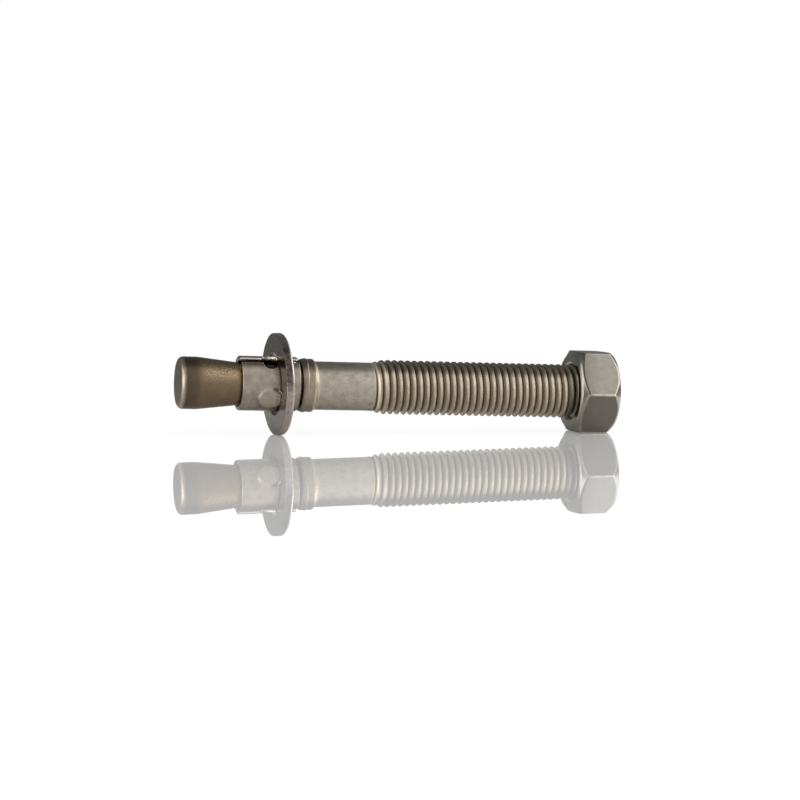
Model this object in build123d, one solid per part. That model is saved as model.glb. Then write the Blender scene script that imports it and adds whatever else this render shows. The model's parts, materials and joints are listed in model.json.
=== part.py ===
"""Wedge anchor, M20 x 163 mm: a stud with a tapered head, a rolled expansion clip, a washer and a nut.

Each piece is drawn along the X axis, the stud's cone end at x = 0 and its driving end at +x, with +Z up
and the front at -Y. The anchor then lies on its side: it is tipped until the washer's rim and the nut's
lower flat touch the floor z = 0, and centred on x = 0.
"""
from build123d import *
from math import atan, degrees, radians, sin, tan
import os

# ---- Driving dimensions, mm and degrees ----

# Stud: head, cone, neck, collar, shank and thread, from the cone end
head_dia = 18.66
head_length = 6.8
head_rounding = 1.85          # corner of the cone end
cone_angle = 6.5              # half angle of the expansion cone
cone_blend = 8.0              # rounding between head and cone
neck_dia = 14.5
collar_dia = 19.12
collar_length = 6.1
collar_lead = 0.9             # length of the collar's bevel on the clip side
collar_bevel = 0.36           # depth of that bevel
collar_fall = 1.3             # length of the collar's taper down to the shank
collar_fillet = 0.5
shank_dia = 17.4
shank_length = 21.3
thread_dia = 19.7             # over the crests
thread_pitch = 2.5
thread_length = 91.9          # with its run-out

# Expansion clip: one strip of sheet rolled round the neck
clip_sheet = 1.55             # thickness of the strip
clip_length = 21.0
clip_lap = 3.3                # how far the clip reaches up the cone
clip_gap = 1.0                # end play between clip and collar
clip_edge = 0.4               # bevel round each end of the clip
seam_gap = 3.3                # between the strip's two ends, round the outside
seam_clock = 25.6             # the seam's place, from the top towards the front
notch_width = 5.4             # half-round notch in each end of the strip
notch_depth = 3.0
boss_share = 0.25             # of the strip's length, from each end of the strip to a pressed boss
boss_length = 10.8
boss_width = 9.0
boss_height = 0.92
boss_foot = 0.12              # straight foot below a boss's bevel

# Washer
washer_dia = 36.5
washer_thickness = 3.0
washer_edge = 0.3             # bevel of the rim's edges
washer_inset = 4.5            # from the clip's collar end to the washer

# Hex nut
nut_width = 29.4              # across flats
nut_height = 15.2
nut_washer_face = 0.7         # height of the round bearing face that stands out from the hexagon
nut_face_inset = 1.0          # its circle inside the flats
nut_chamfer_angle = 30.0
nut_outer_inset = 0.6         # the outer face's circle inside the flats
nut_outer_angle = 48.0
nut_countersink = 0.6         # depth and radial width of the countersink
nut_inset = 1.5               # from the driving end to the nut

# Clearances
body_play = 0.3               # radial, between the stud's cone and the clip
washer_play = 0.45            # radial, round the largest thing that the loose washer passes over
thread_play = 0.05            # running fit of the nut on the thread, radial
clip_sag = 0.3                # the stud lies this far below the clip's and washer's centre line

# ---- Sizes that follow ----

head_r = head_dia / 2
neck_r = neck_dia / 2
collar_r = collar_dia / 2
shank_r = shank_dia / 2
thread_r = thread_dia / 2
thread_depth = 0.5413 * thread_pitch    # five eighths of the pitch triangle's height
thread_runout = 1.2 * thread_pitch
nut_bore_r = thread_r + thread_play
cone_slope = tan(radians(cone_angle))
cone_length = (head_r - neck_r) / cone_slope

# Stations along the stud
cone_end = head_length + cone_length
clip_start = cone_end - clip_lap
clip_end = clip_start + clip_length
collar_start = clip_end + clip_gap
collar_end = collar_start + collar_length
thread_start = collar_end + shank_length
stud_end = thread_start + thread_length
washer_end = clip_end - washer_inset
washer_start = washer_end - washer_thickness
nut_end = stud_end - nut_inset
nut_start = nut_end - nut_height

# The clip's bore clears the cone under its lip, with the stud lying low in it
clip_bore_r = neck_r + clip_lap * cone_slope + clip_sag + body_play
clip_r = clip_bore_r + clip_sheet
clip_middle = (clip_start + clip_end) / 2
boss_r = clip_r + boss_height
seam_angle = degrees(seam_gap / clip_r)

# The washer passes over the thread and slides on to the clip's bosses
washer_bore_r = max(boss_r, thread_r + clip_sag) + washer_play
washer_r = washer_dia / 2

nut_face_r = nut_width / 2 - nut_face_inset
nut_chamfer_slope = tan(radians(nut_chamfer_angle))
nut_outer_r = nut_width / 2 - nut_outer_inset
nut_outer_slope = tan(radians(nut_outer_angle))

# At rest the anchor leans on the washer's rim and on the outer end of the nut's lower flat
washer_foot = washer_r - clip_sag
nut_foot = nut_width / 2
nut_contact = nut_end - nut_outer_inset * nut_outer_slope
rest_tilt = degrees(atan((washer_foot - nut_foot) / (nut_contact - washer_end)))


def turned(corners, arc=360.0):
    """Solid turned about the X axis from a closed outline; each corner is (x, radius, rounding)."""
    points = [(x, radius) for x, radius, rounding in corners]
    outline = FilletPolyline(*points, radius=[rounding for x, radius, rounding in corners], close=True)
    return revolve(Plane.XZ * make_face(outline), Axis.X, revolution_arc=arc)


def stud():
    """Head, cone, neck, collar, plain shank and threaded length; the thread is drawn at its crests."""
    return turned([
        (0, 0, 0),
        (0, head_r, head_rounding),
        (head_length, head_r, cone_blend),
        (cone_end, neck_r, 0),
        (collar_start, neck_r, 0),
        (collar_start, collar_r - collar_bevel, 0),
        (collar_start + collar_lead, collar_r, 0),
        (collar_end - collar_fall, collar_r, 0),
        (collar_end, shank_r, collar_fillet),
        (thread_start, shank_r, 0),
        (thread_start + thread_runout, thread_r, 0),
        (stud_end - thread_depth, thread_r, 0),
        (stud_end, thread_r - thread_depth, 0),
        (stud_end, 0, 0),
    ])


def boss(sink):
    """Oval plug up the Z axis, its bevelled top following the strip's curve, sunk below it by sink."""
    plug = extrude(Ellipse((boss_length - sink) / 2, (boss_width - sink) / 2), boss_r)
    plug = plug & Rot(Y=90) * Cylinder(boss_r - sink, boss_length)
    rim = plug.edges().filter_by(lambda edge: edge.center().Z > clip_bore_r / 2)
    return Pos(clip_middle, 0, 0) * chamfer(rim, boss_height - boss_foot)


def expansion_clip():
    """Rolled strip: open seam, a half-round notch in each end of the strip and pressed bosses."""
    strip = turned([
        (clip_start, clip_bore_r + clip_edge, 0),
        (clip_start, clip_r - clip_edge, 0),
        (clip_start + clip_edge, clip_r, 0),
        (clip_end - clip_edge, clip_r, 0),
        (clip_end, clip_r - clip_edge, 0),
        (clip_end, clip_bore_r + clip_edge, 0),
        (clip_end - clip_edge, clip_bore_r, 0),
        (clip_start + clip_edge, clip_bore_r, 0),
    ], arc=360 - seam_angle)
    strip = Rot(X=seam_clock + seam_angle / 2) * strip

    to_boss = seam_angle / 2 + boss_share * (360 - seam_angle)
    places = [Rot(X=seam_clock + to_boss), Rot(X=seam_clock - to_boss)]
    sheet_core = Pos(clip_middle, 0, 0) * Rot(Y=90) * Cylinder(clip_bore_r + clip_sheet / 2, clip_length)
    bosses = [place * boss(0) - sheet_core for place in places]
    hollows = [place * boss(clip_sheet) for place in places]

    notches = 2 * clip_r * sin((seam_gap / 2 + notch_depth) / clip_r)
    punch = extrude(Rot(Z=90) * SlotOverall(notches, notch_width), boss_r)
    punch = Rot(X=seam_clock) * Pos(clip_middle, 0, 0) * punch
    return strip + bosses - hollows - punch


def washer():
    """Flat ring with bevelled rim edges."""
    return turned([
        (washer_start, washer_bore_r, 0),
        (washer_start, washer_r - washer_edge, 0),
        (washer_start + washer_edge, washer_r, 0),
        (washer_end - washer_edge, washer_r, 0),
        (washer_end, washer_r - washer_edge, 0),
        (washer_end, washer_bore_r, 0),
    ])


def hex_nut():
    """Hexagon chamfered at both ends, with a round bearing face, a flat outer face and a countersunk bore."""
    hexagon = RegularPolygon(nut_width / 2, 6, major_radius=False)
    blank = extrude(Plane.YZ.offset(nut_start) * hexagon, nut_height)
    hexagon_start = nut_start + nut_washer_face
    half = (nut_end - hexagon_start) / 2
    chamfers = turned([
        (nut_start, 0, 0),
        (nut_start, nut_face_r, 0),
        (hexagon_start, nut_face_r, 0),
        (hexagon_start + half, nut_face_r + half / nut_chamfer_slope, 0),
        (hexagon_start + half, nut_outer_r + half / nut_outer_slope, 0),
        (nut_end, nut_outer_r, 0),
        (nut_end, 0, 0),
    ])
    bore = turned([
        (nut_start, 0, 0),
        (nut_start, nut_bore_r + nut_countersink, 0),
        (nut_start + nut_countersink, nut_bore_r, 0),
        (nut_end - nut_countersink, nut_bore_r, 0),
        (nut_end, nut_bore_r + nut_countersink, 0),
        (nut_end, 0, 0),
    ])
    return (blank & chamfers) - bore


def anchor():
    """All pieces by name, lying on the floor."""
    lifted = Pos(0, 0, clip_sag)
    tipped = Rot(Y=rest_tilt)
    pieces = {
        "stud": tipped * stud(),
        "expansion_clip": tipped * lifted * expansion_clip(),
        "washer": tipped * lifted * washer(),
        "hex_nut": tipped * hex_nut(),
    }
    box = Compound(list(pieces.values())).bounding_box()
    to_floor = Pos(-(box.min.X + box.max.X) / 2, 0, -box.min.Z)
    return {name: to_floor * piece for name, piece in pieces.items()}


os.makedirs("parts", exist_ok=True)
for name, piece in anchor().items():
    export_step(piece, f"parts/{name}.step")
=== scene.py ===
"""Wedge anchor M20 x 163 mm in bare stainless steel: its looks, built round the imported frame.

Every piece is a numpy surface in the anchor's own coordinates: a station along the stud from its cone
end, a radius, and a clock angle from the top towards the front. Sizes are in millimetres.
"""
import json
from math import cos, pi, radians, sin, tan

import bmesh
import bpy
import numpy as np
from mathutils import Matrix, Vector


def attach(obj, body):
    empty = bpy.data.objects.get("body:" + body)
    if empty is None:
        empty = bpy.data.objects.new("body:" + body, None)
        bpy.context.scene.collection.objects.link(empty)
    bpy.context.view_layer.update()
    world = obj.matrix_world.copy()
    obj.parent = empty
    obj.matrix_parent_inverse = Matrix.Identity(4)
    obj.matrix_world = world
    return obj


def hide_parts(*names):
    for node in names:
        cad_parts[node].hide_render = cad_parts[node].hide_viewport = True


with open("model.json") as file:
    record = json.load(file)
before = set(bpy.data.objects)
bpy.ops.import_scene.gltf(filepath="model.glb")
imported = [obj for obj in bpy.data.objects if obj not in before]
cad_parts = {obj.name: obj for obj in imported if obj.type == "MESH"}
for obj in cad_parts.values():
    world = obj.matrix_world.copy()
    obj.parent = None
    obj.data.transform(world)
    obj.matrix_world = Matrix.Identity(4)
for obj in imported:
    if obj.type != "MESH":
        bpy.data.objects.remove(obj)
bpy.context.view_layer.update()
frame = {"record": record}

MM = 0.001
weld_distance = 0.001         # points nearer than this, in mm, are one

# ---- Sizes, mm and degrees ----
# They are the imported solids' own, apart from edges and roundings, which are finer here.

# Stud
head_r = 9.33
head_length = 6.8
head_rounding = 1.7
cone_angle = 6.5
cone_blend = 8.0
neck_r = 7.25
collar_r = 9.56
collar_length = 5.6
collar_lead = 0.9
collar_bevel = 0.36
collar_fall = 0.85
collar_fillet = 0.3
collar_rounding = 0.4         # at both ends of its rim
collar_lip = 0.15             # rounding where its bevel starts
neck_blend = 3.0              # rounding between cone and neck
neck_fillet = 0.3
shank_r = 8.7
shank_length = 21.8
crest_r = 9.85
thread_pitch = 2.5
thread_length = 91.9
crest_at_top = 1.72           # station of one crest at the top of the stud, counted modulo the pitch
crest_flat = 0.22             # half the crest's width before it is rounded
crest_rounding = 0.35
root_rounding = 0.2

# Expansion clip
clip_sheet = 1.55
clip_length = 21.0
clip_lap = 3.3
clip_gap = 1.0
clip_edge = 0.4               # rounding of the sheet's edges
seam_gap = 2.9
seam_clock = 25.6             # from the top towards the front
notch_width = 5.4
notch_depth = 3.0
notch_power = 2.4             # of the superellipse that gives the notch's outline
strip_nose = 0.5              # reach of the rounding at the strip's ends
boss_share = 0.25             # of the strip's length, from each end of the strip to a boss
boss_length = 10.8
boss_width = 9.0
boss_height = 0.92
boss_flank = 1.4              # width of the slope inside its oval rim
boss_foot = 0.1               # width of the slope outside it

# Washer
washer_r = 18.25
washer_thickness = 3.0
washer_edge = 0.3             # rounding of the rim's near edge
washer_far_edge = 0.6
washer_bore_edge = 0.2
washer_inset = 4.5
washer_lean = 2.3             # of its top towards the cone end, as it rests loose
washer_turn = 2.8             # of its front edge towards the nut
washer_shift = 0.3            # towards the nut

# Nut
nut_width = 29.4
nut_height = 15.2
nut_washer_face = 0.4
nut_face_inset = 1.0
nut_chamfer_angle = 30.0
nut_outer_inset = 0.6
nut_outer_angle = 48.0
nut_corner = 0.5              # rounding between two flats
nut_countersink = 0.9
nut_edge = 0.08               # rounding between countersink and face
nut_crease = 0.18             # depth of the crease beside the inner chamfer
nut_inset = 1.5

# Clearances, radial
body_play = 0.3               # between cone and clip
washer_play = 0.45            # round the clip's bosses
thread_play = 0.05
flank_play = 0.06             # between the ridges of nut and stud
clip_sag = 0.3                # the stud lies this far below the clip's and washer's centre line

# ---- Stations and radii that follow ----

thread_depth = 0.5413 * thread_pitch
cone_end = head_length + (head_r - neck_r) / tan(radians(cone_angle))
clip_start = cone_end - clip_lap
clip_end = clip_start + clip_length
clip_middle = (clip_start + clip_end) / 2
collar_start = clip_end + clip_gap
collar_end = collar_start + collar_length
thread_start = collar_end + shank_length
stud_end = thread_start + thread_length
washer_end = clip_end - washer_inset
washer_start = washer_end - washer_thickness
nut_end = stud_end - nut_inset
nut_start = nut_end - nut_height
clip_bore_r = neck_r + clip_lap * tan(radians(cone_angle)) + clip_sag + body_play
clip_r = clip_bore_r + clip_sheet
washer_bore_r = clip_r + boss_height + washer_play

# ---- The anchor's own coordinates, read from the frame ----

mounts = {mount["name"]: np.array(mount["pos_m"]) for mount in frame["record"]["mounts"]}
cone_tip = mounts["cone_end"]
along = (mounts["driving_end"] - cone_tip) / np.linalg.norm(mounts["driving_end"] - cone_tip)
upward = np.array([-along[2], 0.0, along[0]])
forward = np.array([0.0, -1.0, 0.0])


def placed(station, radius, clock, lift=0.0):
    """Points in the frame, in metres: a station along the stud, a radius at a clock angle in radians, and
    a lift upwards."""
    height = (radius * np.cos(clock) + lift)[..., None]
    depth = (radius * np.sin(clock))[..., None]
    return cone_tip + MM * (station[..., None] * along + height * upward + depth * forward)


# ---- Mesh helpers ----

def around(count):
    """Clock angles of count even steps once round the stud, both ends included, in radians."""
    return np.linspace(0, 2 * pi, count + 1)


def smoothstep(low, high, value):
    """Rises from 0 at low to 1 at high along 3t^2 - 2t^3."""
    t = np.clip((value - low) / (high - low), 0, 1)
    return t * t * (3 - 2 * t)


def bell(value, centre, width, power=2):
    """1 at centre, falling away on both sides along exp(-(|value - centre| / width)^power)."""
    return np.exp(-(np.abs(value - centre) / width) ** power)


def rounded(corners, steps=5):
    """Outline through corners (station, radius, rounding): each rounding is an arc tangent to both
    sides."""
    path = [np.array(corners[0][:2])[None]]
    for before, here, after in zip(corners, corners[1:], corners[2:]):
        corner = np.array(here[:2])
        side = np.array(before[:2]) - corner
        other = np.array(after[:2]) - corner
        side, other = side / np.linalg.norm(side), other / np.linalg.norm(other)
        half = np.arccos(np.clip(side @ other, -1, 1)) / 2
        centre = corner + (side + other) / np.linalg.norm(side + other) * here[2] / sin(half)
        first = corner + side * here[2] / tan(half) - centre
        last = corner + other * here[2] / tan(half) - centre
        sweep = pi - 2 * half
        t = np.linspace(0, 1, steps + 1)[:, None]
        arc = (np.sin((1 - t) * sweep) * first + np.sin(t * sweep) * last) / sin(sweep)
        path.append(centre + arc if here[2] else corner[None])
    path.append(np.array(corners[-1][:2])[None])
    return np.concatenate(path)


def divided(path, longest):
    """The same outline with its long runs cut into equal parts no longer than longest."""
    pieces = []
    for start, end in zip(path, path[1:]):
        count = max(1, int(np.ceil(np.linalg.norm(end - start) / longest)))
        pieces.append(start + (end - start) * (np.arange(count) / count)[:, None])
    return np.concatenate(pieces + [path[-1:]])


def skin(name, points, **fields):
    """Mesh over a grid of points[row, column]: rows run along the stud and columns clockwise, so each
    quad is wound to face outwards. Points that share a place are merged, which closes the seam and the
    poles. fields are values kept per vertex for the materials."""
    rows, columns = points.shape[:2]
    index = np.arange(rows * columns).reshape(rows, columns)
    quads = np.stack([index[:-1, :-1], index[:-1, 1:], index[1:, 1:], index[1:, :-1]], -1)
    quads = quads.reshape(-1, 4)
    mesh = bpy.data.meshes.new(name)
    mesh.vertices.add(index.size)
    mesh.vertices.foreach_set("co", points.astype(np.float32).ravel())
    mesh.loops.add(quads.size)
    mesh.loops.foreach_set("vertex_index", quads.astype(np.int32).ravel())
    mesh.polygons.add(len(quads))
    mesh.polygons.foreach_set("loop_start", np.arange(0, quads.size, 4, dtype=np.int32))
    mesh.update(calc_edges=True)
    for field, values in fields.items():
        values = np.broadcast_to(values, (rows, columns)).astype(np.float32)
        mesh.attributes.new(field, "FLOAT", "POINT").data.foreach_set("value", values.ravel())
    weld = bmesh.new()
    weld.from_mesh(mesh)
    bmesh.ops.remove_doubles(weld, verts=weld.verts, dist=weld_distance * MM)
    weld.to_mesh(mesh)
    weld.free()
    mesh.polygons.foreach_set("use_smooth", np.ones(len(mesh.polygons), bool))
    piece = bpy.data.objects.new(name, mesh)
    bpy.context.scene.collection.objects.link(piece)
    return piece


def settle(piece, node, body, material):
    """Gives a piece its material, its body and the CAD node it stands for."""
    piece.data.materials.append(material)
    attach(piece, body)
    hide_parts(node)


# ---- Stud ----

stud_columns = 90
stud_row = 0.22               # longest row along the plain part
chamfer_row = 0.15            # and along the end chamfer
helix_lead = 3.6              # pitches of plain shank whose rows already follow the helix
runout_before = 0.7           # pitches before the thread's start where it begins to rise
runout_after = 1.7            # and past it where it is full
ridge_inset = 1.8             # from the collar's start to the ridge that rolling left on its rim
ridge_height = 0.2
ridge_width = 0.25
furrow_inset = 0.9            # from that ridge to the furrow beside it
furrow_depth = 0.12
furrow_width = 0.45
# how far the roots' dirt and painted shade is shifted along the stud, towards the nut
root_shade_shift = 0.35
gilt_middle = 16.0            # station, half length, clock angle and half angle of the gold specks
gilt_reach = 8.5
gilt_clock = 55.0
gilt_spread = 24.0
shade_band_inset = 1.0               # from the nut to the middle of a band of painted shade
shade_band_reach = 1.2


def thread_ridge():
    """One pitch of the thread from root to root: offset from the crest and height above the root, a
    60 degree ridge with rounded crest and root."""
    foot = crest_flat + thread_depth * tan(radians(30))
    return rounded([
        (-thread_pitch / 2, 0, 0),
        (-foot, 0, root_rounding),
        (-crest_flat, thread_depth, crest_rounding),
        (crest_flat, thread_depth, crest_rounding),
        (foot, 0, root_rounding),
        (thread_pitch / 2, 0, 0),
    ], steps=3)


def thread_height(station, clock):
    """Height of the right-hand thread above its root: the ridge winds one pitch further along for each
    turn from the top towards the front."""
    turns = (station - crest_at_top) / thread_pitch - clock / (2 * pi)
    ridge = thread_ridge()
    return np.interp((turns - np.round(turns)) * thread_pitch, ridge[:, 0], ridge[:, 1])


def thread_stations(start, end, clock):
    """Stations of rows that follow the helix from a circle at start to a circle near end.

    A wedge of rows opens from the circle to the helix over the first turn, whole pitches follow, each
    divided as the ridge is, and a wedge closes on a circle again. Where a turn ends at the top, its
    points meet those of the next."""
    share = clock / (2 * pi)
    pitch_rows = (thread_ridge()[1:, 0] + thread_pitch / 2)[:, None]
    opening = start + pitch_rows * share
    turns = int((end - start) / thread_pitch) - 1
    steps = (np.arange(turns)[:, None, None] * thread_pitch + pitch_rows).reshape(-1, 1)
    winding = start + thread_pitch * share + steps
    closing = winding[-1:] + pitch_rows * (1 - share)
    return np.concatenate([opening, winding, closing])


def stud_wear(station, clock, height, risen):
    """Fields of the stud's finish, painted shade and painted highlight, from the thread's height and the
    share of
    it that has risen: the station in millimetres, and others from 0 to 1.

    groove is the depth below the crest. The roots' dirt and painted shade is that depth taken a little
    further along, so that it is thicker on the flanks towards the nut. turned covers the collar and gilt
    the upper front of the cone. A last field paints shade in a band beside the nut and over the top of
    thread and collar."""
    cut = smoothstep(thread_start - 0.9 * thread_pitch, thread_start + 0.1 * thread_pitch, station)
    turned = bell(station, (collar_start + collar_end) / 2, 0.52 * collar_length, 8)
    # painted shade over the top of the thread and, more faintly, of the collar
    on_top = smoothstep(0.5, 0.75, np.cos(clock)) * (0.78 * risen + 0.4 * turned)
    return {
        "station": station,
        "groove": (1 - height / thread_depth) * cut,
        # dirt and painted shade in the roots
        "root_dirt_and_shade": (1 - thread_height(station + root_shade_shift, clock) / thread_depth) * cut,
        "turned": turned,
        "gilt": bell(station, gilt_middle, gilt_reach, 6)
                * bell(clock, radians(gilt_clock), radians(gilt_spread)),
        # painted shade: a band beside the nut, and the top of thread and collar
        "painted_shade": np.maximum(bell(station, nut_start - shade_band_inset, shade_band_reach, 4), on_top),
    }


def stud_piece():
    """Turned outline from the cone end to the shank, then rows that follow the thread's helix, ending in
    a chamfer. The thread rises out of the shank over its run-out. The collar's rim carries a ridge and a
    furrow left by rolling, which waver along the stud."""
    clock = around(stud_columns)[None]
    first_root = np.floor(thread_start / thread_pitch - helix_lead) + 0.5
    helix_start = crest_at_top + first_root * thread_pitch
    plain = divided(rounded([
        (0, 0, 0),
        (0, head_r, head_rounding),
        (head_length, head_r, cone_blend),
        (cone_end, neck_r, neck_blend),
        (collar_start, neck_r, neck_fillet),
        (collar_start, collar_r - collar_bevel, collar_lip),
        (collar_start + collar_lead, collar_r, collar_rounding),
        (collar_end - collar_fall, collar_r, collar_rounding),
        (collar_end, shank_r, collar_fillet),
        (helix_start, shank_r, 0),
    ]), stud_row)
    threaded = thread_stations(helix_start, stud_end, clock)
    last = threaded[-1, 0]
    chamfer = np.linspace(last, stud_end, int((stud_end - last) / chamfer_row) + 2)[1:]
    root_r = crest_r - thread_depth
    end_face = root_r * np.array([1, 0.98, 0.7, 0.35, 0])
    station = np.concatenate([
        np.repeat(plain[:, :1], stud_columns + 1, 1),
        threaded,
        np.repeat(np.append(chamfer, 0 * end_face + stud_end)[:, None], stud_columns + 1, 1),
    ])
    height = thread_height(station, clock)
    risen = smoothstep(-runout_before, runout_after, (station - thread_start) / thread_pitch)
    radius = shank_r + (root_r + height - shank_r) * risen
    radius = np.minimum(radius, root_r + (stud_end - station))
    radius[-len(end_face):] = end_face[:, None]
    radius[:len(plain)] = plain[:, 1:]
    ridge = collar_start + ridge_inset + 0.25 * np.sin(3 * clock + 1) + 0.15 * np.sin(7 * clock)
    radius += ridge_height * bell(station, ridge, ridge_width)
    radius -= furrow_depth * bell(station, ridge + furrow_inset, furrow_width)
    points = placed(station, radius, clock)
    return skin("stud_looks", points, **stud_wear(station, clock, height, risen))


# ---- Expansion clip ----

clip_rows = 114               # between the clip's rounded ends
outer_columns = 440
inner_columns = 130


def boss_places():
    """Clock angles of the bosses' centres, each boss_share of the strip from one of its ends."""
    seam_angle = seam_gap / clip_r
    to_boss = seam_angle / 2 + boss_share * (2 * pi - seam_angle)
    return radians(seam_clock) + to_boss, radians(seam_clock) + 2 * pi - to_boss


def clip_piece():
    """Closed shell of the rolled strip: a loop round its section for each row along the clip.

    The loop runs over the outer face, round one end of the strip, back under the inner face and round the
    other end. The strip's ends follow the seam and the half-round notches, and a boss lifts both faces:
    a flat top with a soft flank inside an oval rim."""
    # Along the clip: stations, and half the sheet's thickness there, which closes over each end
    half_sheet = clip_sheet / 2
    turn = np.linspace(0, pi / 2, 5)
    nose_station = clip_edge * (1 - np.sin(turn[::-1]))
    nose_opening = half_sheet - clip_edge * (1 - np.cos(turn[::-1]))
    middle = np.linspace(clip_start + clip_edge, clip_end - clip_edge, clip_rows + 2)[1:-1]
    station = np.concatenate([[clip_start, clip_start], clip_start + nose_station, middle,
                              clip_end - nose_station[::-1], [clip_end, clip_end]])[:, None]
    shut = (half_sheet - clip_edge) / 2
    opened = np.concatenate([[0, shut], nose_opening, np.full(len(middle), half_sheet),
                             nose_opening[::-1], [shut, 0]])[:, None]
    # Round the loop: share of the strip's length, reach past its square end, and height in the sheet
    bend = np.linspace(0, pi, 9)[1:-1]
    outer, inner = np.linspace(0, 1, outer_columns), np.linspace(1, 0, inner_columns)
    share = np.concatenate([outer, 0 * bend + 1, inner, 0 * bend, [0]])
    reach = np.concatenate([0 * outer, np.sin(bend), 0 * inner, np.sin(bend), [0]]) - 1
    reach = strip_nose * np.where((share > 0) & (share < 1), 0, reach)
    height = np.concatenate([0 * outer + 1, np.cos(bend), 0 * inner - 1, -np.cos(bend), [1]])
    # The strip's ends draw back from the seam by the notch, a superellipse
    across = np.abs(station - clip_middle) / (notch_width / 2)
    notch = notch_depth * np.clip(1 - across ** notch_power, 0, None) ** (1 / notch_power)
    inset = (seam_gap / 2 + notch) / clip_r
    clock = radians(seam_clock) + inset + (2 * pi - 2 * inset) * share
    clock = clock + np.where(share > 0.5, 1, -1) * reach / clip_r
    radius = clip_bore_r + half_sheet + height * opened
    for place in boss_places():
        lengthways = (station - clip_middle) / (boss_length / 2)
        sideways = (clock - place) * clip_r / (boss_width / 2)
        inside = (1 - np.hypot(lengthways, sideways)) * boss_width / 2
        radius = radius + boss_height * smoothstep(-boss_foot, boss_flank, inside)
    station = np.repeat(station, clock.shape[1], 1)
    sheared = ((share == 0) | (share == 1)) * 1.0
    return skin("expansion_clip_looks", placed(station, radius, clock, clip_sag), sheared=sheared)


# ---- Washer ----

washer_columns = 432
washer_row = 0.35
scuff_shade_start = (-3.0, 4.0)     # heights over the axis between which the rim's scuffing and painted shade fade in
scuff_shade_end = (15.5, 12.5)      # and those between which they have faded out
rim_knocks = (                # clock angle and half width in degrees, depth in mm
    (5.0, 2.0, 0.28), (33.0, 1.3, 0.12), (57.0, 1.8, 0.16), (71.0, 1.0, 0.14), (84.0, 2.2, 0.2),
    (-38.0, 3.0, 0.12), (140.0, 2.4, 0.1), (215.0, 3.2, 0.15),
)


def loose(points):
    """The washer's points as it lies loose: leaning towards the cone end on the lower edge of its rim,
    turned a little on its upright axis, shifted along the stud and set down on the floor."""
    foot = placed(np.array(washer_start), washer_r, np.array(pi), clip_sag)
    lean = np.array(Matrix.Rotation(-radians(washer_lean), 3, "Y"))
    turn = np.array(Matrix.Rotation(radians(washer_turn), 3, "Z"))
    points = foot + (points - foot) @ (turn @ lean).T + MM * washer_shift * along
    points[..., 2] -= points[..., 2].min()
    return points


def washer_piece():
    """Ring turned from a rounded rectangle, its rim dented in bell-shaped knocks on the near side. rim
    covers the rim; a painted highlight covers its far edge; scuffing with painted shade covers the front
    of the rim, and painted shade alone the upper half of the face."""
    middle = (washer_start + washer_end) / 2
    outline = divided(rounded([
        (middle, washer_bore_r, 0),
        (washer_start, washer_bore_r, washer_bore_edge),
        (washer_start, washer_r, washer_edge),
        (washer_end, washer_r, washer_far_edge),
        (washer_end, washer_bore_r, washer_bore_edge),
        (middle, washer_bore_r, 0),
    ]), washer_row)
    clock = around(washer_columns)[None]
    station = np.repeat(outline[:, :1], clock.size, 1)
    radius = np.repeat(outline[:, 1:], clock.size, 1)
    dented = smoothstep(washer_r - 1.2, washer_r, radius)
    dented = dented * smoothstep(washer_end - 0.6, washer_start, station)
    for place, width, depth in rim_knocks:
        away = (np.degrees(clock) - place + 180) % 360 - 180
        radius = radius - depth * dented * bell(away, 0, width)
    height = radius * np.cos(clock)
    rim = smoothstep(washer_r - 0.7, washer_r - 0.1, radius)
    # painted highlight along the far edge
    worn = rim * smoothstep(washer_end - 0.75, washer_end - 0.45, station)
    # scuffing and painted shade over the front of the rim
    front = rim * smoothstep(*scuff_shade_start, height) * smoothstep(*scuff_shade_end, height) * (1 - worn)
    # painted shade on the upper half of the face
    face = smoothstep(washer_start + 0.3, washer_start, station) * smoothstep(-2.0, 2.0, height)
    scuffed = np.maximum(front, 0.5 * face)
    points = loose(placed(station, radius, clock, clip_sag))
    return skin("washer_looks", points, rim=rim, scuffed=scuffed, worn=worn)


# ---- Hex nut ----

flat_shades = np.array([0.1, 0.0, 0.72, 0.45, 0.15, 0.3])      # painted shade on each flat, clockwise from the top
crease_shades = np.array([0.6, 1.0, 0.3, 0.6, 0.8, 0.5])       # and dirt with painted shade in its crease


def nut_clock():
    """Clock angles round the nut, close together at its corners."""
    flat = np.linspace(-27.4, 27.4, 30)
    corner = np.linspace(27.4, 30, 10)[1:]
    sector = np.concatenate([flat, corner, 60 - corner[-2::-1]])
    turns = (np.arange(6)[:, None] * 60 + sector).ravel()
    return np.radians(np.append(turns, turns[0] + 360))


def off_flat(clock):
    """Angle from the middle of the nearest flat, up to a twelfth of a turn at the corners."""
    return np.abs((clock + pi / 6) % (pi / 3) - pi / 6)


def hexagon(clock):
    """Distance from the nut's axis to its side: flats at the top and bottom, and corners that are arcs of
    radius nut_corner tangent to both flats."""
    across = off_flat(clock)
    off_corner = pi / 6 - across
    to_centre = (nut_width / 2 - nut_corner) / cos(pi / 6)
    reach = np.clip(nut_corner ** 2 - (to_centre * np.sin(off_corner)) ** 2, 0, None)
    arc = to_centre * np.cos(off_corner) + np.sqrt(reach)
    tangent = np.arctan((nut_width / 2 - nut_corner) * tan(pi / 6) / (nut_width / 2))
    return np.where(across > tangent, arc, nut_width / 2 / np.cos(across))


def threaded_bore(clock):
    """Rows back through the nut's bore: heights from its bearing face, and the radius of the thread's
    ridge, which fades into the countersink at each end."""
    rows = np.arange(nut_height - nut_countersink, nut_countersink + 0.01, -thread_pitch / 16)
    inside = rows[:, None] + 0 * clock
    wall = crest_r - thread_depth + thread_height(nut_start + inside, clock) + flank_play
    to_end = np.minimum(inside - nut_countersink, nut_height - nut_countersink - inside)
    fade = crest_r + thread_play - 0.1 - 2 * np.clip(to_end, 0, None)
    return inside, np.maximum(wall, fade)


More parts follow.
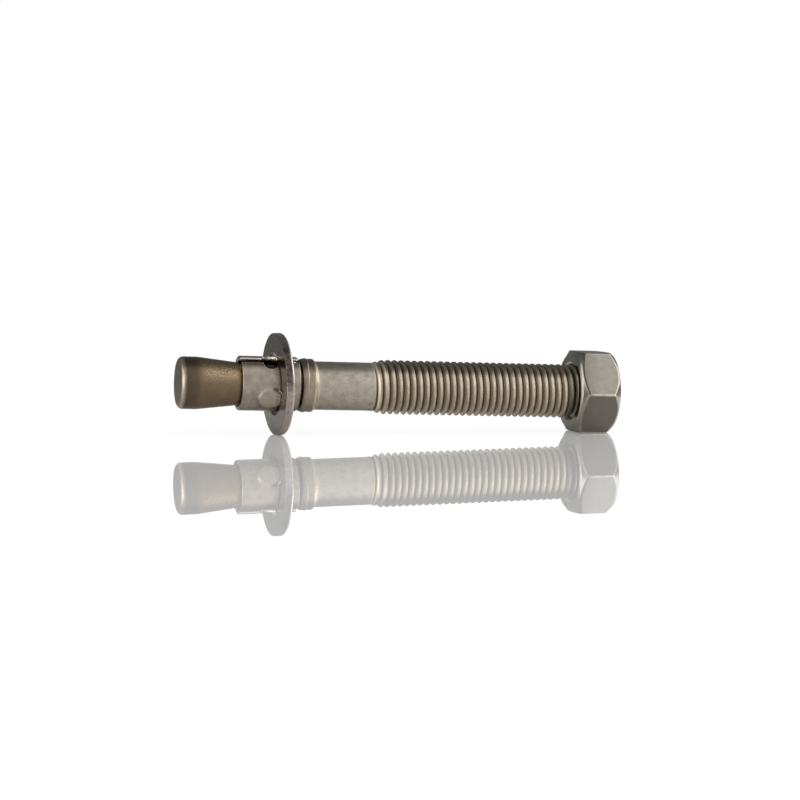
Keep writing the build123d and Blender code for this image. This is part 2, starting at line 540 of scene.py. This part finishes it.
def nut_piece():
    """Closed shell: over the bearing face and its chamfer, along the sides, over the outer chamfer and
    face, and back through the threaded bore. Each chamfer is a cone that meets the side where the
    hexagon reaches it; a fine crease follows the edge of the inner one.

    A painted shade gives each flat its own tone, crease holds dirt and painted shade in the crease, the
    corners carry wear and a painted highlight, and within is painted shade in the bore."""
    clock = nut_clock()[None]
    side = hexagon(clock)
    face, outer_face = nut_width / 2 - nut_face_inset, nut_width / 2 - nut_outer_inset
    chamfer = nut_washer_face + (side - face) * tan(radians(nut_chamfer_angle))
    outer_chamfer = nut_height - (side - outer_face) * tan(radians(nut_outer_angle))
    bore = crest_r + thread_play
    lip = bore + nut_countersink
    cone_shares = (0.2, 0.6, 0.93)     # rows across each chamfer
    rows = [
        # Countersink and bearing face
        (nut_countersink, bore),
        (nut_countersink * 0.5, bore + nut_countersink * 0.5),
        (nut_edge, lip - nut_edge),
        (0, lip + nut_edge),
        (0, lip + 2 * nut_edge),
        (0, (lip + face) / 2),
        (0, face - 0.3),
        (0.02, face - 0.1),
        (0.1, face - 0.02),
        (0.2, face),
        (nut_washer_face - 0.12, face),
        (nut_washer_face - 0.02, face + 0.03),
        # Inner chamfer, crease and side
        *[(nut_washer_face + t * (chamfer - nut_washer_face), face + t * (side - face))
          for t in cone_shares],
        (chamfer, side - 0.06),
        (chamfer + 0.12, side - nut_crease),
        (chamfer + 0.3, side - nut_crease),
        (chamfer + 0.42, side - 0.05),
        (chamfer + 0.52, side),
        (chamfer + 0.7, side),
        (0.5 * (chamfer + outer_chamfer), side),
        (outer_chamfer - 0.45, side),
        (outer_chamfer - 0.18, side),
        (outer_chamfer - 0.06, side - 0.03),
        (outer_chamfer + 0.06, side - 0.08),
        # Outer chamfer, face and countersink
        *[(outer_chamfer + t * (nut_height - outer_chamfer), side + t * (outer_face - side))
          for t in cone_shares],
        (nut_height - 0.01, outer_face - 0.06),
        (nut_height, outer_face - 0.2),
        (nut_height, (lip + outer_face) / 2),
        (nut_height, lip + 2 * nut_edge),
        (nut_height, lip + nut_edge),
        (nut_height - nut_edge, lip - nut_edge),
        (nut_height - nut_countersink * 0.5, bore + nut_countersink * 0.5),
    ]
    inside, wall = threaded_bore(clock)
    stations = [row_station + 0 * side for row_station, _ in rows] + [inside, nut_countersink + 0 * side]
    station = nut_start + np.concatenate(stations)
    radius = np.concatenate([row_radius + 0 * side for _, row_radius in rows] + [wall, bore + 0 * side])
    flat = np.floor((clock + pi / 6) / (pi / 3)).astype(int) % 6
    # painted shade, different on each flat
    scale = flat_shades[flat] * (radius > side - 0.02)
    # dirt and painted shade in the crease
    crease = bell(station, nut_start + chamfer + 0.2, 0.42) * (radius > side - 0.4) * crease_shades[flat]
    # wear and a painted highlight along the corners
    worn = bell(off_flat(clock), pi / 6, radians(1.1)) * (radius > side - 0.1)
    # painted shade inside the bore
    within = smoothstep(lip - 0.1, bore - 0.4, radius)
    return skin("hex_nut_looks", placed(station, radius, clock),
                crease=crease, within=within, scale=scale, worn=worn)


# ---- Materials ----
# A pattern's Scale input is written 1 / (size * MM), which makes its patches about size millimetres wide.


def linear(code):
    """An sRGB hex colour as linear RGBA."""
    parts = np.array([int(code[k:k + 2], 16) for k in (1, 3, 5)]) / 255
    parts = np.where(parts <= 0.04045, parts / 12.92, ((parts + 0.055) / 1.055) ** 2.4)
    return (*parts.tolist(), 1.0)


def grey(level):
    """A neutral colour of this linear value."""
    return (level, level, level, 1.0)


def add(tree, kind, inputs=None, **settings):
    """Adds a node: settings are its own properties, and each input is given a value, a socket or a node,
    which stands for its first output in use."""
    node = tree.nodes.new(kind)
    for name, value in settings.items():
        setattr(node, name, value)
    for key, value in (inputs or {}).items():
        if isinstance(value, bpy.types.Node):
            value = next(socket for socket in value.outputs if socket.enabled)
        if isinstance(value, bpy.types.NodeSocket):
            tree.links.new(value, node.inputs[key])
        else:
            node.inputs[key].default_value = value
    return node


def empty_material(name):
    """A material with an empty node tree."""
    material = bpy.data.materials.new(name)
    material.use_nodes = True
    material.node_tree.nodes.clear()
    return material


def tinted(tree, colour, layers):
    """Lays tints over a colour, one after another. Each layer holds its tint, the pattern that carries
    it, the pattern's values where it starts and is full, its least and greatest share, and the field
    that it is kept to, or 1 for the whole piece."""
    for code, pattern, (start, full), (least, greatest), field in layers:
        share = add(tree, "ShaderNodeMapRange", {
            "Value": pattern, "From Min": start, "From Max": full, "To Min": least, "To Max": greatest})
        share = add(tree, "ShaderNodeMath", {0: share, 1: field}, operation="MULTIPLY")
        colour = add(tree, "ShaderNodeMix", {"Factor": share, "A": colour, "B": linear(code)},
                     data_type="RGBA")
    return colour


def forged_stud_steel():
    """Cold-forged and rolled stainless steel. Satin: brown heat tint on the head and cone with gold
    speckle, a painted highlight on the head's rounded rim and the collar's fall, painted shade on the neck
    under the clip, turning lines on the collar, a mottled shank, and a thread with crests that show wear,
    flanks painted lighter as a highlight and roots brown with dirt and painted shade. Painted shade
    darkens the top of thread and collar and a band beside the nut."""
    material = empty_material("forged_stud_steel")
    tree = material.node_tree
    place = add(tree, "ShaderNodeTexCoord").outputs["Object"]
    station, groove, root_dirt_and_shade, turned, gilt, painted_shade = (
        add(tree, "ShaderNodeAttribute", attribute_name=field).outputs["Fac"]
        for field in ("station", "groove", "root_dirt_and_shade", "turned", "gilt", "painted_shade"))
    share = add(tree, "ShaderNodeMath", {0: station, 1: stud_end}, operation="DIVIDE")
    ramp = add(tree, "ShaderNodeValToRGB", {"Fac": share})
    tint = ramp.color_ramp.elements
    tint[0].color, tint[1].color = linear("#84735f"), linear("#bdb3a0")
    # Brown end face with a painted highlight on its rounded rim, head, cone, a neck painted dark as shade
    # under the clip, collar with a painted highlight on its fall, shank and thread
    for position, code in (
        (0.3, "#84735f"), (0.5, "#b4a89c"), (1.0, "#b4a89c"), (1.6, "#574b3e"),
        (head_length - 1.5, "#5e5143"), (head_length + 0.5, "#74624f"), (cone_end - 4.0, "#7b6853"),
        (cone_end, "#2a241e"), (collar_start - 0.1, "#2a241e"), (collar_start + 0.1, "#948878"),
        (collar_end - 1.5, "#9a8e7e"), (collar_end - 1.1, "#cfc3b0"), (collar_end + 0.2, "#cfc3b0"),
        (collar_end + 0.6, "#aea597"), (thread_start - 3.0, "#b6ada0"), (thread_start + 2.0, "#bdb3a0"),
    ):
        tint.new(position / stud_end).color = linear(code)
    patches = add(tree, "ShaderNodeTexNoise", {"Vector": place, "Scale": 1 / (2.5 * MM), "Detail": 4.0})
    specks = add(tree, "ShaderNodeTexNoise", {"Vector": place, "Scale": 1 / (0.35 * MM), "Detail": 3.0})
    # Turning lines a quarter of a millimetre apart; the field station is in millimetres
    lines = add(tree, "ShaderNodeTexNoise", {"W": station, "Scale": 4.0, "Detail": 2.0},
                noise_dimensions="1D")
    scored = add(tree, "ShaderNodeMath", {0: lines, 1: turned}, operation="MULTIPLY")
    colour = tinted(tree, ramp, (
        ("#5d5040", patches, (0.45, 0.75), (0.0, 0.4), 1.0),     # patches from forging
        ("#4d4033", specks, (0.52, 0.75), (0.0, 0.55), 1.0),     # dark specks
        ("#b3a48d", scored, (0.45, 0.7), (0.0, 0.5), 1.0),       # turning lines
        ("#c6b08c", specks, (0.42, 0.56), (0.0, 0.75), gilt),    # gold specks
        ("#e6dac4", groove, (0.05, 0.3), (0.0, 1.0), 1.0),       # flanks painted lighter as a highlight
        ("#584833", root_dirt_and_shade, (0.3, 0.8), (0.0, 1.0), 1.0),         # dirt and painted shade in the roots
        ("#2e261f", painted_shade, (0.0, 1.0), (0.0, 0.85), 1.0),        # painted shade beside the nut and along the top
    ))
    roughness = add(tree, "ShaderNodeMapRange", {
        "Value": specks, "From Min": 0.3, "From Max": 0.7, "To Min": 0.27, "To Max": 0.42})
    roughness = add(tree, "ShaderNodeMath", {0: groove, 1: 0.25, 2: roughness}, operation="MULTIPLY_ADD")
    relief = add(tree, "ShaderNodeMath", {0: scored, 1: 1.5, 2: specks}, operation="MULTIPLY_ADD")
    uneven = add(tree, "ShaderNodeBump", {"Height": relief, "Distance": 0.018 * MM})
    shader = add(tree, "ShaderNodeBsdfPrincipled", {
        "Base Color": colour, "Metallic": 1.0, "Roughness": roughness, "Normal": uneven})
    add(tree, "ShaderNodeOutputMaterial", {"Surface": shader})
    return material


def rolled_strip_steel():
    """Cold-rolled stainless strip: smooth satin, with darker bruises from the press, fine scratches that
    run along the strip, and bright sheared ends at its seam."""
    material = empty_material("rolled_strip_steel")
    tree = material.node_tree
    place = add(tree, "ShaderNodeTexCoord").outputs["Object"]
    sheared = add(tree, "ShaderNodeAttribute", attribute_name="sheared").outputs["Fac"]
    bruises = add(tree, "ShaderNodeTexNoise", {"Vector": place, "Scale": 1 / (3.5 * MM), "Detail": 4.0})
    specks = add(tree, "ShaderNodeTexNoise", {"Vector": place, "Scale": 1 / (0.3 * MM), "Detail": 2.0})
    colour = tinted(tree, linear("#a3978a"), (
        ("#6b6157", bruises, (0.42, 0.7), (0.0, 0.5), 1.0),
        ("#5d544b", specks, (0.58, 0.75), (0.0, 0.3), 1.0),
        ("#d2cbc1", sheared, (0.0, 1.0), (0.0, 1.0), 1.0),
    ))
    # Rolling scratches 0.3 mm apart along the stud, and 4 mm long round it
    stretched = add(tree, "ShaderNodeMapping", {
        "Vector": place, "Scale": (1 / (0.3 * MM), 1 / (4 * MM), 1 / (4 * MM))})
    scratches = add(tree, "ShaderNodeTexNoise", {"Vector": stretched, "Scale": 1.0, "Detail": 2.0})
    roughness = add(tree, "ShaderNodeMapRange", {
        "Value": scratches, "From Min": 0.3, "From Max": 0.7, "To Min": 0.18, "To Max": 0.3})
    relief = add(tree, "ShaderNodeMath", {0: scratches, 1: specks}, operation="ADD")
    uneven = add(tree, "ShaderNodeBump", {"Height": relief, "Distance": 0.006 * MM})
    shader = add(tree, "ShaderNodeBsdfPrincipled", {
        "Base Color": colour, "Metallic": 1.0, "Roughness": roughness, "Normal": uneven})
    add(tree, "ShaderNodeOutputMaterial", {"Surface": shader})
    return material


def tumbled_washer_steel():
    """Punched and tumbled stainless steel: smooth grey faces, a pitted rim scuffed and darkened with
    painted shade on its upper front, painted shade on the upper half of the face, and a painted highlight
    along the far edge."""
    material = empty_material("tumbled_washer_steel")
    tree = material.node_tree
    place = add(tree, "ShaderNodeTexCoord").outputs["Object"]
    rim, scuffed, worn = (
        add(tree, "ShaderNodeAttribute", attribute_name=field).outputs["Fac"]
        for field in ("rim", "scuffed", "worn"))
    patches = add(tree, "ShaderNodeTexNoise", {"Vector": place, "Scale": 1 / (1.4 * MM), "Detail": 4.0})
    pits = add(tree, "ShaderNodeTexNoise", {"Vector": place, "Scale": 1 / (0.5 * MM), "Detail": 4.0})
    colour = tinted(tree, linear("#a0978f"), (
        ("#6b645d", patches, (0.4, 0.7), (0.0, 0.35), 1.0),
        # scuffing and painted shade on the front of the rim and the upper face
        ("#48403a", patches, (0.3, 0.6), (0.7, 1.0), scuffed),
        # painted highlight along the far edge
        ("#c9c2b9", worn, (0.0, 1.0), (0.0, 1.0), 1.0),
        ("#3d3631", pits, (0.55, 0.72), (0.0, 0.6), rim),
    ))
    roughness = add(tree, "ShaderNodeMapRange", {
        "Value": pits, "From Min": 0.3, "From Max": 0.7, "To Min": 0.17, "To Max": 0.3})
    depth = add(tree, "ShaderNodeMath", {0: rim, 1: pits}, operation="MULTIPLY")
    relief = add(tree, "ShaderNodeMath", {0: patches, 1: 0.2, 2: depth}, operation="MULTIPLY_ADD")
    uneven = add(tree, "ShaderNodeBump", {"Height": relief, "Distance": 0.05 * MM})
    shader = add(tree, "ShaderNodeBsdfPrincipled", {
        "Base Color": colour, "Metallic": 1.0, "Roughness": roughness, "Normal": uneven})
    add(tree, "ShaderNodeOutputMaterial", {"Surface": shader})
    return material


def satin_nut_steel():
    """Cold-formed stainless nut: fine grey satin, with painted shade that differs from flat to flat, wear
    and a painted highlight on the corners, dirt and painted shade in the crease at the chamfer, and
    painted shade in the bore."""
    material = empty_material("satin_nut_steel")
    tree = material.node_tree
    place = add(tree, "ShaderNodeTexCoord").outputs["Object"]
    scale, worn, crease, within = (
        add(tree, "ShaderNodeAttribute", attribute_name=field).outputs["Fac"]
        for field in ("scale", "worn", "crease", "within"))
    patches = add(tree, "ShaderNodeTexNoise", {"Vector": place, "Scale": 1 / (2.2 * MM), "Detail": 4.0})
    grain = add(tree, "ShaderNodeTexNoise", {"Vector": place, "Scale": 1 / (0.35 * MM), "Detail": 3.0})
    colour = tinted(tree, linear("#a09a91"), (
        ("#7d766c", patches, (0.45, 0.75), (0.0, 0.3), 1.0),
        # painted shade on each flat
        ("#534e47", scale, (0.0, 1.0), (0.0, 1.0), 1.0),
        # wear and a painted highlight on the corners
        ("#e0dacf", patches, (0.3, 0.6), (0.3, 1.0), worn),
        # dirt and painted shade in the crease
        ("#1d1a17", crease, (0.0, 1.0), (0.0, 0.95), 1.0),
        # painted shade in the bore
        ("#3a332c", within, (0.0, 1.0), (0.0, 1.0), 1.0),
    ))
    roughness = add(tree, "ShaderNodeMapRange", {
        "Value": grain, "From Min": 0.3, "From Max": 0.7, "To Min": 0.17, "To Max": 0.26})
    uneven = add(tree, "ShaderNodeBump", {"Height": grain, "Distance": 0.007 * MM})
    shader = add(tree, "ShaderNodeBsdfPrincipled", {
        "Base Color": colour, "Metallic": 1.0, "Roughness": roughness, "Normal": uneven})
    add(tree, "ShaderNodeOutputMaterial", {"Surface": shader})
    return material


settle(stud_piece(), "stud", "stud", forged_stud_steel())
settle(clip_piece(), "expansion_clip", "clip", rolled_strip_steel())
settle(washer_piece(), "washer", "washer", tumbled_washer_steel())
settle(nut_piece(), "hex_nut", "nut", satin_nut_steel())

# ---- Camera ----

view_azimuth = 0.2614959      # radians, from +Y towards +X
view_dip = 0.0819614          # radians below level
view_roll = 0.0151946
view_distance = 0.8930929     # metres
view_target = Vector((0.00014913, 0.00005845, 0.01219822))
focal_px = 2460.584
image_px = 800
sensor_mm = 36.0


def view_camera():
    """A camera aimed at view_target along its azimuth and dip, then rolled about its own axis."""
    ahead = Vector((sin(view_azimuth) * cos(view_dip), cos(view_azimuth) * cos(view_dip), -sin(view_dip)))
    level = Vector((cos(view_azimuth), -sin(view_azimuth), 0.0))
    upright = level.cross(ahead)
    right = cos(view_roll) * level + sin(view_roll) * upright
    above = cos(view_roll) * upright - sin(view_roll) * level
    camera = bpy.data.objects.new("camera", bpy.data.cameras.new("camera"))
    camera.data.sensor_width = sensor_mm
    camera.data.lens = focal_px / image_px * sensor_mm
    camera.data.clip_start = 0.01
    turned = Matrix((right, above, -ahead)).transposed().to_4x4()
    camera.matrix_world = Matrix.Translation(view_target - view_distance * ahead) @ turned
    bpy.context.scene.collection.objects.link(camera)
    bpy.context.scene.camera = camera


# ---- Floor, lights and room ----

floor_side = 0.9              # metres to the left, right and front; the sheet ends behind the anchor
floor_back = 0.17
floor_white = 0.95            # how much light the sheet gives back
floor_shade = 0.6             # how much less of it the camera sees, so that shadows stay faint
floor_glow = 1.25             # white that the camera sees for each part left out
floor_gloss = 0.97            # share mirrored where it is looked along
floor_falloff = 3.4           # how fast that share fades towards looking straight down
room_front = 0.75             # grey of the room level in front, and behind
room_back = 0.2
room_levels = (               # degrees round from the front over the top, and the grey there
    (6, 0.78), (18, 1.0), (69, 1.0), (84, 0.3), (94, 0.2),
)
mirror_depth = 2.5            # Ray Depth is 1 for the camera and 2 for what the floor mirrors to it


def sheet_floor():
    """A sheet of gloss white acrylic: a white body that the anchor shades, under a gloss that mirrors more
    the lower it is looked along."""
    mesh = bpy.data.meshes.new("floor")
    mesh.from_pydata([(-floor_side, -floor_side, 0), (floor_side, -floor_side, 0),
                      (floor_side, floor_back, 0), (-floor_side, floor_back, 0)], [], [(0, 1, 2, 3)])
    floor = bpy.data.objects.new("floor", mesh)
    bpy.context.scene.collection.objects.link(floor)
    material = empty_material("gloss_white_acrylic")
    tree = material.node_tree
    seen = add(tree, "ShaderNodeLightPath").outputs["Is Camera Ray"]
    less = add(tree, "ShaderNodeMath", {0: seen, 1: floor_shade}, operation="MULTIPLY")
    glow = add(tree, "ShaderNodeMath", {0: less, 1: floor_glow}, operation="MULTIPLY")
    shade = add(tree, "ShaderNodeMath", {0: floor_white, 1: less}, operation="SUBTRACT")
    body = add(tree, "ShaderNodeBsdfDiffuse", {"Color": shade})
    lit = add(tree, "ShaderNodeEmission", {"Strength": glow})
    white = add(tree, "ShaderNodeAddShader", {0: body, 1: lit})
    facing = add(tree, "ShaderNodeLayerWeight", {"Blend": 0.5}).outputs["Facing"]
    grazing = add(tree, "ShaderNodeMath", {0: facing, 1: floor_falloff}, operation="POWER")
    share = add(tree, "ShaderNodeMath", {0: grazing, 1: floor_gloss}, operation="MULTIPLY")
    gloss = add(tree, "ShaderNodeBsdfAnisotropic", {"Color": grey(1.0), "Roughness": 0.0})
    mixed = add(tree, "ShaderNodeMixShader", {0: share, 1: white, 2: gloss})
    add(tree, "ShaderNodeOutputMaterial", {"Surface": mixed})
    mesh.materials.append(material)


def softbox(name, azimuth, elevation, distance, width, height, radiance):
    """A soft panel of light aimed at the anchor: azimuth from the front towards +X and elevation in
    degrees, distance and size in metres, radiance in watts per square metre and steradian."""
    lamp = bpy.data.lights.new(name, "AREA")
    lamp.shape = "RECTANGLE"
    lamp.size, lamp.size_y = width, height
    lamp.energy = radiance * pi * width * height
    panel = bpy.data.objects.new(name, lamp)
    a, e = radians(azimuth), radians(elevation)
    towards = Vector((sin(a) * cos(e), -cos(a) * cos(e), sin(e)))
    turned = towards.to_track_quat("Z", "Y").to_matrix().to_4x4()
    panel.matrix_world = Matrix.Translation(distance * towards) @ turned
    panel.visible_camera = False
    bpy.context.scene.collection.objects.link(panel)


def studio_room():
    """A pale room in front, dark overhead and behind the anchor, which gives bare metal its contrast. Seen
    directly or in the floor's gloss, it is white all round."""
    world = bpy.data.worlds.new("studio")
    bpy.context.scene.world = world
    world.use_nodes = True
    tree = world.node_tree
    tree.nodes.clear()
    towards = add(tree, "ShaderNodeTexCoord").outputs["Generated"]
    sides = add(tree, "ShaderNodeSeparateXYZ", {"Vector": towards}).outputs
    nearer = add(tree, "ShaderNodeMath", {0: sides["Y"], 1: -1.0}, operation="MULTIPLY")
    # Share of the way round from the front, over the top or under the floor, to the back
    over = add(tree, "ShaderNodeMath", {0: sides["Z"], 1: nearer}, operation="ARCTAN2")
    over = add(tree, "ShaderNodeMath", {0: over}, operation="ABSOLUTE")
    over = add(tree, "ShaderNodeMath", {0: over, 1: pi}, operation="DIVIDE")
    room = add(tree, "ShaderNodeValToRGB", {"Fac": over})
    levels = room.color_ramp.elements
    levels[0].color, levels[1].color = grey(room_front), grey(room_back)
    for angle, level in room_levels:
        levels.new(angle / 180).color = grey(level)
    # A singular ray comes off the floor's perfect mirror, and never off the satin metal
    path = add(tree, "ShaderNodeLightPath").outputs
    near = add(tree, "ShaderNodeMath", {0: path["Ray Depth"], 1: mirror_depth}, operation="LESS_THAN")
    mirrored = add(tree, "ShaderNodeMath", {0: path["Is Singular Ray"], 1: near}, operation="MULTIPLY")
    white = add(tree, "ShaderNodeMath", {0: mirrored, 1: path["Is Camera Ray"]}, operation="MAXIMUM")
    colour = add(tree, "ShaderNodeMix", {"Factor": white, "A": room, "B": grey(1.0)}, data_type="RGBA")
    background = add(tree, "ShaderNodeBackground", {"Color": colour, "Strength": 1.0})
    add(tree, "ShaderNodeOutputWorld", {"Surface": background})


view_camera()
sheet_floor()
softbox("left_softbox", -86, 15, 0.85, 1.2, 0.65, 1.9)
softbox("right_softbox", 90, 30, 0.85, 1.1, 0.75, 1.8)
studio_room()

scene = bpy.context.scene
scene.view_settings.view_transform = "Standard"
